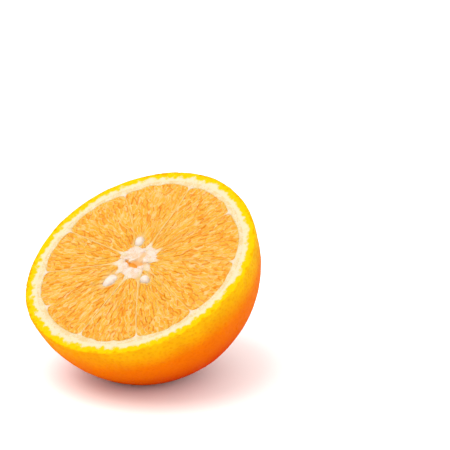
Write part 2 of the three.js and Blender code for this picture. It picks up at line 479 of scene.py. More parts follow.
# %% How a skirt hangs
SKIRT_STEPS = 8
SKIRT_DEPTH = 0.98              # of the way down to the bowl
SKIRT_ROUND = 0.985             # a little more, so that the lowest step still has some width

skirt_share = np.sin(np.linspace(0, 1, SKIRT_STEPS + 1) ** 1.5 * math.pi / 2)


def bowl_reach(outer, share, least):
    """How far out the bowl still lies at a share of its depth, but never less than this."""
    return np.sqrt(np.maximum(outer**2 - (share * outer * SKIRT_ROUND) ** 2, least**2))


print("skirt, shares of the depth:", np.round(skirt_share, 2).tolist())

# %% A flat sheet with a skirt
def skirted_sheet(name, along, across):
    deselect()
    bpy.ops.mesh.primitive_grid_add(x_subdivisions=along, y_subdivisions=across, size=2)
    piece = bpy.context.object
    piece.name = name
    bpy.ops.object.mode_set(mode="EDIT")
    bpy.ops.mesh.select_mode(type="EDGE")
    bpy.ops.mesh.select_all(action="DESELECT")
    bpy.ops.mesh.select_non_manifold()
    for _ in range(SKIRT_STEPS):
        bpy.ops.mesh.extrude_edges_move(TRANSFORM_OT_translate={"value": (0, 0, -1)})
    bpy.ops.mesh.edge_face_add()
    bpy.ops.object.mode_set(mode="OBJECT")
    return piece


def unit_places(piece):
    """Each point's x and y on the unit sheet, and its step."""
    points = places(piece)
    return points[:, 0], points[:, 1], -np.round(points[:, 2]).astype(int)


print("a sheet has", SKIRT_STEPS, "steps of skirt below its rim")

# %% [markdown]
# ## The pips
#
# Three pips lie round the core, and stand a little proud of the cut. Each is an egg with a blunt end
# and a point. Their places and sizes are those of the frame's nodes, and how far each pip is off its
# node is printed. A ball is laid on its side, so that its poles become the pip's two ends, drawn out,
# and given the shallow ridges of a real pip's skin.

# %% Pips
PIP_RISE = 0.45                 # above the cut, since the flesh draws back from a pip as it dries
PIP_TAPER = 0.22
PIP_FULLNESS = 2.6              # 2 is an egg, and more is fuller at the top
PIP_RIDGES = 7
PIP_RIDGE_HEIGHT = 0.018        # as a share of the pip's thickness
PIPS = [
    dict(node="seed_1", angle=124.4, middle=9.55, length=4.6, width=3.6, depth=5.2, heading=105),
    dict(node="seed_2", angle=242.0, middle=11.9, length=6.8, width=4.5, depth=6.0, heading=250),
    dict(node="seed_3", angle=314.6, middle=9.2, length=4.4, width=3.4, depth=5.0, heading=340),
]
for pip in PIPS:
    turn = math.radians(pip["angle"])
    pip["x"] = pip["middle"] * math.cos(turn)
    pip["y"] = pip["middle"] * math.sin(turn)
    pip["z"] = PIP_RISE - pip["depth"] / 2
print("pips, mm across the slope:", [round(pip["x"], 1) for pip in PIPS])


# %% Make the pips
def make_pip(pip, seed):
    deselect()
    bpy.ops.mesh.primitive_uv_sphere_add(segments=56, ring_count=36, radius=1)
    piece = bpy.context.object
    piece.name = "pip_" + pip["node"][-1]
    bpy.ops.object.mode_set(mode="EDIT")
    bpy.ops.mesh.select_all(action="SELECT")
    bpy.ops.transform.rotate(value=math.pi / 2, orient_axis="Y", center_override=(0, 0, 0))
    bpy.ops.object.mode_set(mode="OBJECT")
    points = places(piece)
    x, y, z = points.T
    angle = np.arctan2(z, y)
    power = PIP_FULLNESS
    size = (np.hypot(x, y) ** power + np.abs(z) ** power) ** (-1 / power)
    ridge = 1 + PIP_RIDGE_HEIGHT * np.sin(PIP_RIDGES * angle + 2 * x + seed) * (1 - x**2)
    ridge += layers(points, (0.02, 0.5, 40 + seed))
    size = size * np.where(np.abs(x) < 0.9, ridge, 1)
    narrow = 1 - PIP_TAPER * x * size
    long = x * size * pip["length"] / 2
    wide = y * size * pip["width"] / 2 * narrow
    tall = z * size * pip["depth"] / 2
    turn = math.radians(pip["heading"])
    spun = np.empty_like(points)
    spun[:, 0] = long * math.cos(turn) - wide * math.sin(turn) + pip["x"]
    spun[:, 1] = long * math.sin(turn) + wide * math.cos(turn) + pip["y"]
    spun[:, 2] = tall + pip["z"]
    note(piece, "along", x)
    mould(piece, spun)
    finish_mesh(piece)
    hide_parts(pip["node"])
    return piece


pips = [make_pip(pip, i) for i, pip in enumerate(PIPS)]
for pip, piece in zip(PIPS, pips):
    node_low, node_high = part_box(pip["node"])
    off = (node_low + node_high) / 2 - Vector(((places(piece).min(0) + places(piece).max(0)) / 2))
    print(piece.name, "is off its node by", round(off.length / MM, 2), "mm")

# %% [markdown]
# Each pip needs a pocket. The flesh, the walls and the core all dip towards it, and where they would
# run through it they drop away beneath it, so nothing pokes into a pip.

# %% Pockets for the pips
PIP_GAP = 0.3
PIP_DIP = 0.45
PIP_UNDER = 0.8                 # inside this share of the outline, a pip hides what lies below it


def pip_distance(x, y, pip):
    """How far out from a pip's middle each point of the face is: 1 is the pip's outline."""
    turn = math.radians(pip["heading"])
    dx, dy = x - pip["x"], y - pip["y"]
    long = (dx * math.cos(turn) + dy * math.sin(turn)) / (pip["length"] / 2)
    wide = (-dx * math.sin(turn) + dy * math.cos(turn)) / (pip["width"] / 2)
    narrow = np.maximum(1 - PIP_TAPER * np.clip(long, -1, 1), 0.3)
    return np.hypot(long, wide / narrow)


def pip_pockets(x, y, z):
    """The face's height with its pip pockets, and how near to a pip each point is, from 0 to 1."""
    near = np.zeros_like(x)
    for pip in PIPS:
        out = pip_distance(x, y, pip)
        hollow = np.sqrt(np.clip(1 - (out / PIP_UNDER) ** 2, 0, 1))
        under = pip["z"] - (pip["depth"] / 2 + PIP_GAP) * hollow
        z = z - PIP_DIP * (1 - ease(0.85, 1.5, out))
        z = np.where(out < PIP_UNDER, np.minimum(z, under), z)
        near = np.maximum(near, 1 - ease(0.9, 1.6, out))
    return z, near


print("a pocket leaves", PIP_GAP, "mm under its pip")

# %% [markdown]
# ## The pith
#
# The white pith is a bowl inside the rind, with a scalloped edge where it meets the segments. We
# make a tube: a circle, extruded once for each step of the bowl's outline, and closed at both ends.
# The steps then run up the outside, across the ring that the knife has cut, and down the inside.

# %% A tube of steps
PITH_COLUMNS = 900
PITH_OUTSIDE, PITH_RING, PITH_INSIDE = 6, 16, 7


def make_pith_tube():
    deselect()
    bpy.ops.mesh.primitive_circle_add(vertices=PITH_COLUMNS, radius=1, fill_type="NOTHING")
    piece = bpy.context.object
    piece.name = "pith"
    bpy.ops.object.mode_set(mode="EDIT")
    bpy.ops.mesh.select_mode(type="EDGE")
    bpy.ops.mesh.select_all(action="SELECT")
    bpy.ops.mesh.edge_face_add()
    bpy.ops.mesh.select_all(action="SELECT")
    for _ in range(PITH_OUTSIDE + PITH_RING + PITH_INSIDE):
        bpy.ops.mesh.extrude_region_move(TRANSFORM_OT_translate={"value": (0, 0, -1)})
    bpy.ops.object.mode_set(mode="OBJECT")
    return piece


pith = make_pith_tube()
print("pith:", len(pith.data.polygons), "faces")

# %% Shape the pith
PITH_UNDER_RIND = 0.3           # how far the pith's rim runs on under the ring of rind
PITH_TURN = math.radians(88)    # how far down the bowl each side runs, before a flat face closes it
PITH_EDGE_DROP = 0.2


def shape_pith():
    points = places(pith)
    angle = np.arctan2(points[:, 1], points[:, 0])
    step = -np.round(points[:, 2])
    outer = FRUIT_RADIUS - RIND_THICKNESS + PITH_UNDER_RIND
    inner = pith_reach(angle) - OVERLAP
    up = np.clip(step / PITH_OUTSIDE, 0, 1)
    over = np.clip((step - PITH_OUTSIDE) / PITH_RING, 0, 1)
    down = np.clip((step - PITH_OUTSIDE - PITH_RING) / PITH_INSIDE, 0, 1)
    climb = (1 - up) * PITH_TURN
    fall = down * PITH_TURN
    across = outer + (inner - outer) * over
    radius = across * np.cos(climb) * np.cos(fall)
    z = -across * (np.sin(climb) + np.sin(fall))
    x, y = radius * np.cos(angle), radius * np.sin(angle)
    on_ring = (step >= PITH_OUTSIDE) & (step <= PITH_OUTSIDE + PITH_RING)
    inner_edge = (1 - ease(0, 0.5, across - inner)) * on_ring
    outer_edge = (1 - ease(0, PITH_UNDER_RIND, outer - across)) * on_ring
    z = z + on_ring * (cut_waves(x, y) + sponge(x, y))
    z = z - PITH_EDGE_DROP * (inner_edge**2 + outer_edge)
    mould(pith, grown(np.stack([x, y, z], axis=1)))
    note(pith, "inwards", over)


shape_pith()
finish_mesh(pith)
print("pith, mm across:", np.round(np.ptp(places(pith), axis=0) / MM, 1).tolist())

# %% [markdown]
# ## The walls
#
# Each wall is a thin sheet that runs from the core to the pith and down to the end of the fruit.
# Where two segments round their corners, the wall spreads out to fill the fork between them.

# %% Walls
WALL_ALONG, WALL_ACROSS = 190, 10
WALL_INTO_CORE = 1.2
WALL_INTO_PITH = 0.35
WALL_TOP = -0.02
WALL_SINK = 0.16                # at most, where a wall hardly shows between its two segments
WALL_RAGGED = 0.08
WALL_EDGE_DROP = 0.3            # its edges dip under the flesh on both sides
WALL_SHOWS = [0.3, 0.4, 0.9, 0.5, 0.8, 0.9, 0.2, 0.9, 1.0, 0.5]    # how far each stands clear


def make_wall(which):
    piece = skirted_sheet(f"wall_{which + 1:02d}", WALL_ALONG, WALL_ACROSS)
    x, y, step = unit_places(piece)
    share = skirt_share[step]
    start = min(TIP_RADII[which], TIP_RADII[which - 1]) - WALL_INTO_CORE
    end = FLESH_RADIUS + WALL_INTO_PITH
    radius = start + (x + 1) / 2 * (end - start)
    deep = start + (x + 1) / 2 * (bowl_reach(end, share, start + 1) - start)
    half = np.where(y > 0, wall_half(which, which, radius), wall_half(which, which - 1, radius))
    off = y * (half + OVERLAP)
    turn = wall_angle(which, radius)
    px = deep * np.cos(turn) - off * np.sin(turn)
    py = deep * np.sin(turn) + off * np.cos(turn)
    middle = ease(start + 1, start + 5.5, radius) * (1 - ease(end - 3.2, end - 0.8, radius))
    ragged = soft_noise(np.stack([radius, np.full_like(radius, 9.0 * which)], axis=1), 1.6, 31)
    z = WALL_TOP + (WALL_RAGGED * ragged - WALL_SINK * (1 - WALL_SHOWS[which])) * middle
    z = z - WALL_EDGE_DROP * ease(0.75, 1.0, np.abs(y))
    z = z + cut_waves(px, py) - share * end * SKIRT_DEPTH
    z, _ = pip_pockets(px, py, z)
    mould(piece, grown(np.stack([px, py, z], axis=1)))
    note(piece, "midway", middle)
    note(piece, "shows", WALL_SHOWS[which] + 0.35 * ragged)
    finish_mesh(piece)
    return piece


walls = [make_wall(k) for k in range(SEGMENTS)]
print(len(walls), "walls")

# %% [markdown]
# ## The core
#
# In the middle the walls run together into a soft white core, a star whose arms run out along the
# walls. It has begun to split, in a few shallow slits that wander and meet. The top is a disc drawn
# from the square sheet, so that it has no pole, and its outline follows the tips of the segments and
# runs on a little under them.

# %% Core
CORE_CELLS = 150
CORE_UNDER = 0.8                # how far the core runs on under the tips of the segments
CORE_BULGE = 0.1                # how far its middle stands above its rim
CORE_EDGE_DROP = 0.4
CORE_SKIRT_TOP = 0.3            # how far below the cut its skirt starts
CORE_DEPTH = 0.975              # of the way down to the bowl
CORE_SHARPNESS = 22             # of the change from one tip's radius to the next
SLIT_WANDER = 0.4               # how far a slit strays from its straight line
SLITS = [
    # from, to, width, depth
    ((-5.2, -0.9), (-3.1, -1.8), 0.8, 0.75),
    ((-3.1, -1.8), (0.7, -3.0), 1.1, 0.9),
    ((-1.8, -0.9), (1.8, -1.3), 2.0, 0.6),
    ((2.6, -0.3), (3.9, -1.4), 1.2, 0.35),
    ((0.4, 0.3), (-0.4, 3.4), 1.3, 0.35),
]


def core_reach(angle):
    """The core's outline: the tip radius of the segment at each angle, blended at the walls."""
    total, weights = np.zeros_like(angle), np.zeros_like(angle)
    for k in range(SEGMENTS):
        start, end = (wall_angle(which, np.array(CORE_EDGE)) for which in (k, k + 1))
        apart = np.abs(turn_between(angle, (start + end) / 2))
        weight = 1 / (1 + np.exp((apart - (end - start) / 2) * CORE_SHARPNESS))
        total += weight * TIP_RADII[k]
        weights += weight
    return total / weights


def slit_depth(x, y):
    """How deep the core has split at each point."""
    p = np.stack([x, y], axis=1)
    x = x + layers(p, (SLIT_WANDER, 1.3, 51))
    y = y + layers(p, (SLIT_WANDER, 1.3, 52))
    deepest = np.zeros_like(x)
    for (ax, ay), (bx, by), wide, deep in SLITS:
        dx, dy = bx - ax, by - ay
        along = np.clip(((x - ax) * dx + (y - ay) * dy) / (dx * dx + dy * dy), 0, 1)
        gap = np.hypot(x - ax - along * dx, y - ay - along * dy)
        taper = 0.45 + 0.55 * np.sin(math.pi * along)
        depth = deep * (1 - ease(0.25 * wide, 1.5 * wide, gap / taper))
        deepest = np.maximum(deepest, depth)
    return deepest


def make_core():
    piece = skirted_sheet("core", CORE_CELLS, CORE_CELLS)
    x, y, step = unit_places(piece)
    disc_x, disc_y = x * np.sqrt(1 - y**2 / 2), y * np.sqrt(1 - x**2 / 2)
    out = np.hypot(disc_x, disc_y)
    angle = np.arctan2(disc_y, disc_x)
    reach = core_reach(angle) + CORE_UNDER
    px, py = out * reach * np.cos(angle), out * reach * np.sin(angle)
    slit = slit_depth(px, py)
    pulled = layers(np.stack([px, py], axis=1), (0.24, 2.0, 53), (0.12, 0.65, 54))
    z = pulled - slit - CORE_BULGE * out**2 - CORE_EDGE_DROP * ease(0.9, 1.0, out)
    z = z + cut_waves(px, py)
    hanging = CORE_SKIRT_TOP + skirt_share[step] * FLESH_RADIUS * CORE_DEPTH
    z = np.where(step > 0, -hanging, z)
    z, _ = pip_pockets(px, py, z)
    mould(piece, np.stack([px, py, z], axis=1))
    note(piece, "slit", np.where(step > 0, 0, slit))
    note(piece, "outwards", out)
    finish_mesh(piece)
    return piece


core = make_core()
print("core:", len(core.data.polygons), "faces")

# %% [markdown]
# ## Juice sacs
#
# A segment is packed with juice sacs: little clubs full of juice, a few millimetres long, that all
# point towards the core. Cut across, they show as long bulging cells with thin walls, shorter and
# rounder towards the peel. No brush or modifier lays hundreds of them along the right direction,
# so this relief is worked out in code. Sacs are scattered one by one, each refusing to lie too close
# to those before it. Then every point of the flesh finds its nearest two sacs, measured in a way
# that is stretched along each sac: close to one sac it bulges, and between two it falls into a
# crease. The same numbers are noted on the points, so the colour follows the shape exactly. Faint
# streaks along each sac, like the fibres in it, keep its dome from looking smooth.

# %% Scatter the sacs
SAC_LENGTH, SAC_SHORTER = 4.9, 1.5          # near the core, and how much less near the peel
SAC_WIDTH, SAC_WIDER = 1.05, 0.5            # near the core, and how much more near the peel
SAC_STUB = 0.3                              # how much shorter still, in the outermost rows
SAC_CLUB = 0.35                             # how much wider a sac is at its outer end
SAC_SPACING = 0.82
SAC_TRIES = 5000
SAC_MARGIN = 3.0                            # sacs are scattered this far past the segment's ends
SAC_SIDE = 0.1                              # and past its sides by this angle, in radians
MIDWAY = 20.0                               # from the middle of the face to the middle of a segment


def sac_size(radius):
    """Length and width of a sac at a distance from the middle."""
    outwards = ease(8, 33, radius)
    rim = ease(28.5, 33, radius)
    length = (SAC_LENGTH - SAC_SHORTER * outwards) * (1 - SAC_STUB * rim)
    return length, SAC_WIDTH + SAC_WIDER * outwards


def scatter_sacs(which):
    """A row for each sac: x, y, heading, length, width, how it lies (-1 to 1) and hue (0 to 1)."""
    draw = np.random.default_rng(100 + which)
    start = wall_angle(which, np.array(MIDWAY)) - SAC_SIDE
    end = wall_angle(which + 1, np.array(MIDWAY)) + SAC_SIDE
    low, high = TIP_RADII[which] - SAC_MARGIN, FLESH_RADIUS + SAC_MARGIN
    kept, count = np.zeros((SAC_TRIES, 7)), 0
    for radius, turn in zip(
        np.sqrt(draw.uniform(low**2, high**2, SAC_TRIES)), draw.uniform(start, end, SAC_TRIES)
    ):
        x, y = radius * math.cos(turn), radius * math.sin(turn)
        length, width = sac_size(radius)
        length *= draw.uniform(0.75, 1.3)
        way = turn + draw.normal(0, 0.15 + 0.3 * float(ease(27, 34, radius)))
        near = kept[:count]
        dx, dy = near[:, 0] - x, near[:, 1] - y
        along = (dx * math.cos(way) + dy * math.sin(way)) / length
        aside = (dy * math.cos(way) - dx * math.sin(way)) / width
        if count and np.hypot(along, aside).min() < SAC_SPACING:
            continue
        kept[count] = x, y, way, length, width, draw.uniform(-1, 1), draw.uniform(0, 1)
        count += 1
    return kept[:count]


def sac_field(sacs, x, y):
    """For each point: how far it is from a crease, its sac, its neighbour, and where it lies."""
    p = np.stack([x, y], axis=1)
    x = x + layers(p, (0.35, 1.9, 61), (0.14, 0.7, 62))
    y = y + layers(p, (0.35, 1.9, 63), (0.14, 0.7, 64))
    sac_x, sac_y, way, length, width = sacs[:, :5].T
    dx, dy = x[:, None] - sac_x, y[:, None] - sac_y
    cos, sin = np.cos(way), np.sin(way)
    along = (dx * cos + dy * sin) / length
    aside = (dy * cos - dx * sin) / (width * (1 + SAC_CLUB * np.clip(along, -1, 1)))
    gap = np.hypot(along, aside)
    order = np.argpartition(gap, 1, axis=1)[:, :2]
    rows = np.arange(len(x))
    swap = gap[rows, order[:, 0]] > gap[rows, order[:, 1]]
    first = np.where(swap, order[:, 1], order[:, 0])
    second = np.where(swap, order[:, 0], order[:, 1])
    crease = gap[rows, second] - gap[rows, first]
    return crease, first, second, along[rows, first], aside[rows, first]


for place in (8.0, 33.0):
    print("a sac", place, "mm out is, mm:", [round(float(size), 2) for size in sac_size(place)])

# %% [markdown]
# ## The segments
#
# Each segment is a wedge: its top is the cut, its sides lie against two walls, and its back follows
# the pith down to the end of the fruit. The sheet's x runs from tip to pith and its y from wall to
# wall, and the rows close in towards each other round the corners, so no face is squeezed.

# %% Outline of a segment
SEGMENT_ALONG, SEGMENT_ACROSS = 185, 118
TIP_FORWARD = 0.3               # how far the middle of a tip runs into the core
TIP_ROUND = 0.9                 # how far back its sides lie from that
EDGE_WIDTH = 0.45


def segment_outline(which, x, y, share):
    """Where the unit sheet's points lie on the face, and how far each is from the outline."""
    outer = outer_reach(which, y)
    inner = TIP_RADII[which] - TIP_FORWARD + TIP_ROUND * y**2
    deep_outer = bowl_reach(outer, share, inner + 0.4)
    radius = inner + (x + 1) / 2 * (outer - inner)
    start, end = segment_sides(which, radius)
    turn = (start + end) / 2 + y * (end - start) / 2
    from_side = radius * (end - start) / 2 * (1 - np.abs(y))
    from_edge = np.minimum(from_side, np.minimum(outer - radius, radius - inner))
    deep = inner + (x + 1) / 2 * (deep_outer - inner)
    return deep * np.cos(turn), deep * np.sin(turn), np.maximum(from_edge, 0), outer


print("the shortest segment, mm:", round(FLESH_RADIUS - max(TIP_RADII), 1))

# %% Relief of the flesh
SAC_HEIGHT = 0.25
SAC_LIFT = 0.13                 # how far a whole sac may lie above or below the rest
GRAIN_LENGTH, GRAIN_WIDTH = 2.0, 0.42       # of the streaks along a sac
GRAIN_HEIGHT = 0.03
BURST = 0.82                    # sacs with a hue above this have burst, and lie hollow
# The crease of painted shade between two sacs is this wide.
CREASE_SHADE_WIDTH = 0.26
SKIN_WIDTH = 0.16


def line_along(crease, width):
    """A soft line along the creases, 1 in the middle of it."""
    return np.exp(-((crease / width) ** 2))


def sac_relief(which, px, py):
    """The flesh's height, and how strongly each point shows painted crease shade, a sac's skin or a
    tint.
    """
    sacs = scatter_sacs(which)
    crease, first, second, along, aside = sac_field(sacs, px, py)
    length, width, lies, hue = sacs[first, 3:].T
    beside = ease(0.45, 0.9, np.abs(aside) / (np.hypot(along, aside) + 1e-6))
    crease = crease + 0.22 * (1 - beside)
    dome = 1 - (1 - np.clip(crease / 0.6, 0, 1)) ** 2.2
    dome = np.where(hue > BURST, dome * (0.8 - 0.5 * ease(0.25, 0.9, crease)), dome)
    fine = layers(np.stack([px, py], axis=1), (0.03, 0.45, 71), (0.07, 1.3, 72))
    lengthwise = along * length / GRAIN_LENGTH + 7.0 * first
    grain = soft_noise(np.stack([lengthwise, aside * width / GRAIN_WIDTH], axis=1), 1, 73)
    lift = SAC_LIFT * lies * np.clip(crease / 0.3, 0, 1)
    height = SAC_HEIGHT * (dome - 0.65) + lift + fine + GRAIN_HEIGHT * grain
    pair = (first * 7 + second * 7 + first * second * 3) % 16 / 15
    # Pairs past this get a crease of painted shade between them, the rest a pale skin line.
    shaded_pair = ease(0.5, 0.75, pair)
    gap = line_along(crease, CREASE_SHADE_WIDTH) * shaded_pair
    skin = line_along(crease, SKIN_WIDTH) * (1 - shaded_pair)
    tint = 0.2 + 0.6 * hue + 0.15 * along * lies + 0.5 * grain
    return height, gap, skin, tint


print("segment_01 holds", len(scatter_sacs(0)), "sacs")

# %% Make the segments
FLESH_LEVEL = -0.14
EDGE_DROP = 0.03


def make_segment(which):
    piece = skirted_sheet(f"segment_{which + 1:02d}", SEGMENT_ALONG, SEGMENT_ACROSS)
    x, y, step = unit_places(piece)
    share = skirt_share[step]
    px, py, from_edge, outer = segment_outline(which, x, y, share)
    height, gap, skin, tint = sac_relief(which, px, py)
    over_edge = np.clip(1 - from_edge / EDGE_WIDTH, 0, 1)
    z = FLESH_LEVEL + height * (1 - 0.6 * over_edge) - EDGE_DROP * over_edge**2
    z = z + cut_waves(px, py)
    z, near = pip_pockets(px, py, z)
    z = np.where(step > 0, FLESH_LEVEL - EDGE_DROP - share * outer * SKIRT_DEPTH, z)
    mould(piece, grown(np.stack([px, py, z], axis=1)))
    note(piece, "sac_tint", tint)
    note(piece, "sac_gap_shade", gap)
    note(piece, "sac_skin", skin)
    note(piece, "edge", over_edge)
    note(piece, "near_pip", near)
    finish_mesh(piece, angle=75)
    return piece


segments = [make_segment(k) for k in range(SEGMENTS)]
print("segment_01:", len(segments[0].data.polygons), "faces")

# %% [markdown]
# ## Finishes
#
# Everything here is damp plant tissue that light sinks into, so each finish is one Principled
# shader with subsurface scattering and, where juice or wax lies on it, a thin clear coat. What
# changes over the surface comes from the numbers noted on the points and from soft noise. A Mapping
# node in each finish turns the row's coordinates into the face's own, in millimetres, so that a
# pattern is laid out like the shapes. Two node groups are shared: one gives coarse and fine mottling,
# and one the spongy white tissue that the pith, the core and the walls are made of.

# %% Node helpers
def fill(tree, made, inputs):
    """Fills a node's inputs with values or with other nodes' outputs."""
    for key, value in inputs.items():
        if isinstance(value, bpy.types.NodeSocket):
            tree.links.new(value, made.inputs[key])
        else:
            made.inputs[key].default_value = value


def add(tree, kind, inputs=None, **settings):
    """Adds a node, sets what is named, and fills its inputs."""
    made = tree.nodes.new(kind)
    for key, value in settings.items():
        setattr(made, key, value)
    fill(tree, made, inputs or {})
    return made


def noted(tree, name):
    """The number that was noted on the points under this name."""
    return add(tree, "ShaderNodeAttribute", attribute_name=name).outputs["Fac"]


def between(tree, value, low, high, out_low=0.0, out_high=1.0):
    """Eases from one number to another as the value goes from low to high."""
    ends = {"From Min": low, "From Max": high, "To Min": out_low, "To Max": out_high}
    made = add(
        tree, "ShaderNodeMapRange", {"Value": value, **ends}, interpolation_type="SMOOTHSTEP"
    )
    return made.outputs["Result"]


def maths(tree, operation, a, b):
    return add(tree, "ShaderNodeMath", {0: a, 1: b}, operation=operation).outputs[0]


print("nodes can be added to materials and to groups")

# %% Colours
LIGHT_LEVEL = 1.45              # the studio light is this much brighter than the colours allow for


def colour(code):
    """A colour from its six-digit code, in the linear numbers that shaders use."""
    parts = [int(code[i : i + 2], 16) / 255 for i in (0, 2, 4)]
    linear = [c / 12.92 if c <= 0.04045 else ((c + 0.055) / 1.055) ** 2.4 for c in parts]
    return (*[c / LIGHT_LEVEL for c in linear], 1.0)


def blend(tree, share, a, b):
    """Mixes two colours. The Mix node's colours are its sockets 6 and 7, and its result is 2."""
    made = add(tree, "ShaderNodeMix", {0: share, 6: a, 7: b}, data_type="RGBA")
    return made.outputs[2]


def wash(tree, base, amount, strength, code):
    """Lays a colour over the base, following an amount, and at most this strongly."""
    return blend(tree, maths(tree, "MULTIPLY", amount, strength), base, colour(code))


print("a strong orange, as a shader has it:", [round(part, 3) for part in colour("fa7a00")])


# %% Shared groups
def new_group(name, inputs, outputs):
    group = bpy.data.node_groups.new(name, "ShaderNodeTree")
    for label, kind, value in inputs:
        socket = group.interface.new_socket(label, in_out="INPUT", socket_type=kind)
        if value is not None:
            socket.default_value = value
    for label, kind in outputs:
        group.interface.new_socket(label, in_out="OUTPUT", socket_type=kind)
    start = group.nodes.new("NodeGroupInput")
    end = group.nodes.new("NodeGroupOutput")
    return group, start, end


def use_group(tree, group, inputs):
    return add(tree, "ShaderNodeGroup", inputs, node_tree=group).outputs


def make_mottle():
    """Coarse and fine mottling, each from 0 to 1, on any coordinates in millimetres."""
    group, start, end = new_group(
        "mottle",
        [
            ("Vector", "NodeSocketVector", None),
            ("Coarse Size", "NodeSocketFloat", 6.0),
            ("Fine Size", "NodeSocketFloat", 0.5),
        ],
        [("Coarse", "NodeSocketFloat"), ("Fine", "NodeSocketFloat")],
    )
    for label, detail in (("Coarse", 3.0), ("Fine", 4.0)):
        scale = maths(group, "DIVIDE", 1.0, start.outputs[label + " Size"])
        noise = add(
            group,
            "ShaderNodeTexNoise",
            {"Vector": start.outputs["Vector"], "Scale": scale, "Detail": detail},
        )
        group.links.new(between(group, noise.outputs["Fac"], 0.28, 0.72), end.inputs[label])
    return group


def make_white_tissue(mottle_group):
    """Spongy white tissue: two tints that run into each other, and the height of its grain."""
    group, start, end = new_group(
        "white_tissue",
        [
            ("Vector", "NodeSocketVector", None),
            ("Grain Size", "NodeSocketFloat", 0.4),
            ("White", "NodeSocketColor", None),
            ("Tint", "NodeSocketColor", None),
        ],
        [("Color", "NodeSocketColor"), ("Grain", "NodeSocketFloat")],
    )
    mottle = use_group(
        group,
        mottle_group,
        {
            "Vector": start.outputs["Vector"],
            "Coarse Size": 2.6,
            "Fine Size": start.outputs["Grain Size"],
        },
    )
    both = maths(group, "ADD", mottle["Coarse"], mottle["Fine"])
    share = between(group, both, 0.55, 1.45)
    tissue = blend(group, share, start.outputs["White"], start.outputs["Tint"])
    group.links.new(tissue, end.inputs["Color"])
    group.links.new(mottle["Fine"], end.inputs["Grain"])
    return group


mottle_group = make_mottle()
white_group = make_white_tissue(mottle_group)
print("node groups:", [group.name for group in bpy.data.node_groups])


# %% What every finish starts with
def new_finish(name, shader_settings):
    """A material with one Principled shader, and the face's coordinates ready to use."""
    material = bpy.data.materials.new(name)
    material.use_nodes = True
    tree = material.node_tree
    tree.nodes.clear()
    end = tree.nodes.new("ShaderNodeOutputMaterial")
    shader = add(tree, "ShaderNodeBsdfPrincipled", shader_settings)
    tree.links.new(shader.outputs[0], end.inputs["Surface"])
    face = add(
        tree,
        "ShaderNodeMapping",
        {
            "Vector": add(tree, "ShaderNodeTexCoord").outputs["Object"],
            "Location": tuple(face_middle),
            "Rotation": (lean, 0, 0),
            "Scale": (MM, MM, MM),
        },
        vector_type="TEXTURE",
    )
    return material, tree, shader, face.outputs["Vector"]


def set_bump(tree, shader, height, distance):
    bump = add(tree, "ShaderNodeBump", {"Height": height, "Distance": distance, "Strength": 1.0})
    tree.links.new(bump.outputs["Normal"], shader.inputs["Normal"])


print("patterns start at, mm:", [round(x / MM, 1) for x in face_middle])

# %% [markdown]
# ### Rind
#
# One finish covers the skin and the ring that the knife opened, because in the fruit they are one
# layer. On the skin, under a waxy coat, the colour holds painted light and shade. Towards the cut it
# yellows, most on one shoulder, which is painted light over the skin's own orange. Towards the
# underside it deepens to red, most on the lower side of the lean, which is painted shade. The pits
# are darker, partly painted shade in the hollows and partly the oil glands' own colour. In the ring,
# the colour runs from orange through bright yellow to white, and its inner edge is toothed because
# the oil glands hang into the pith. All depths and distances are millimetres from the face.

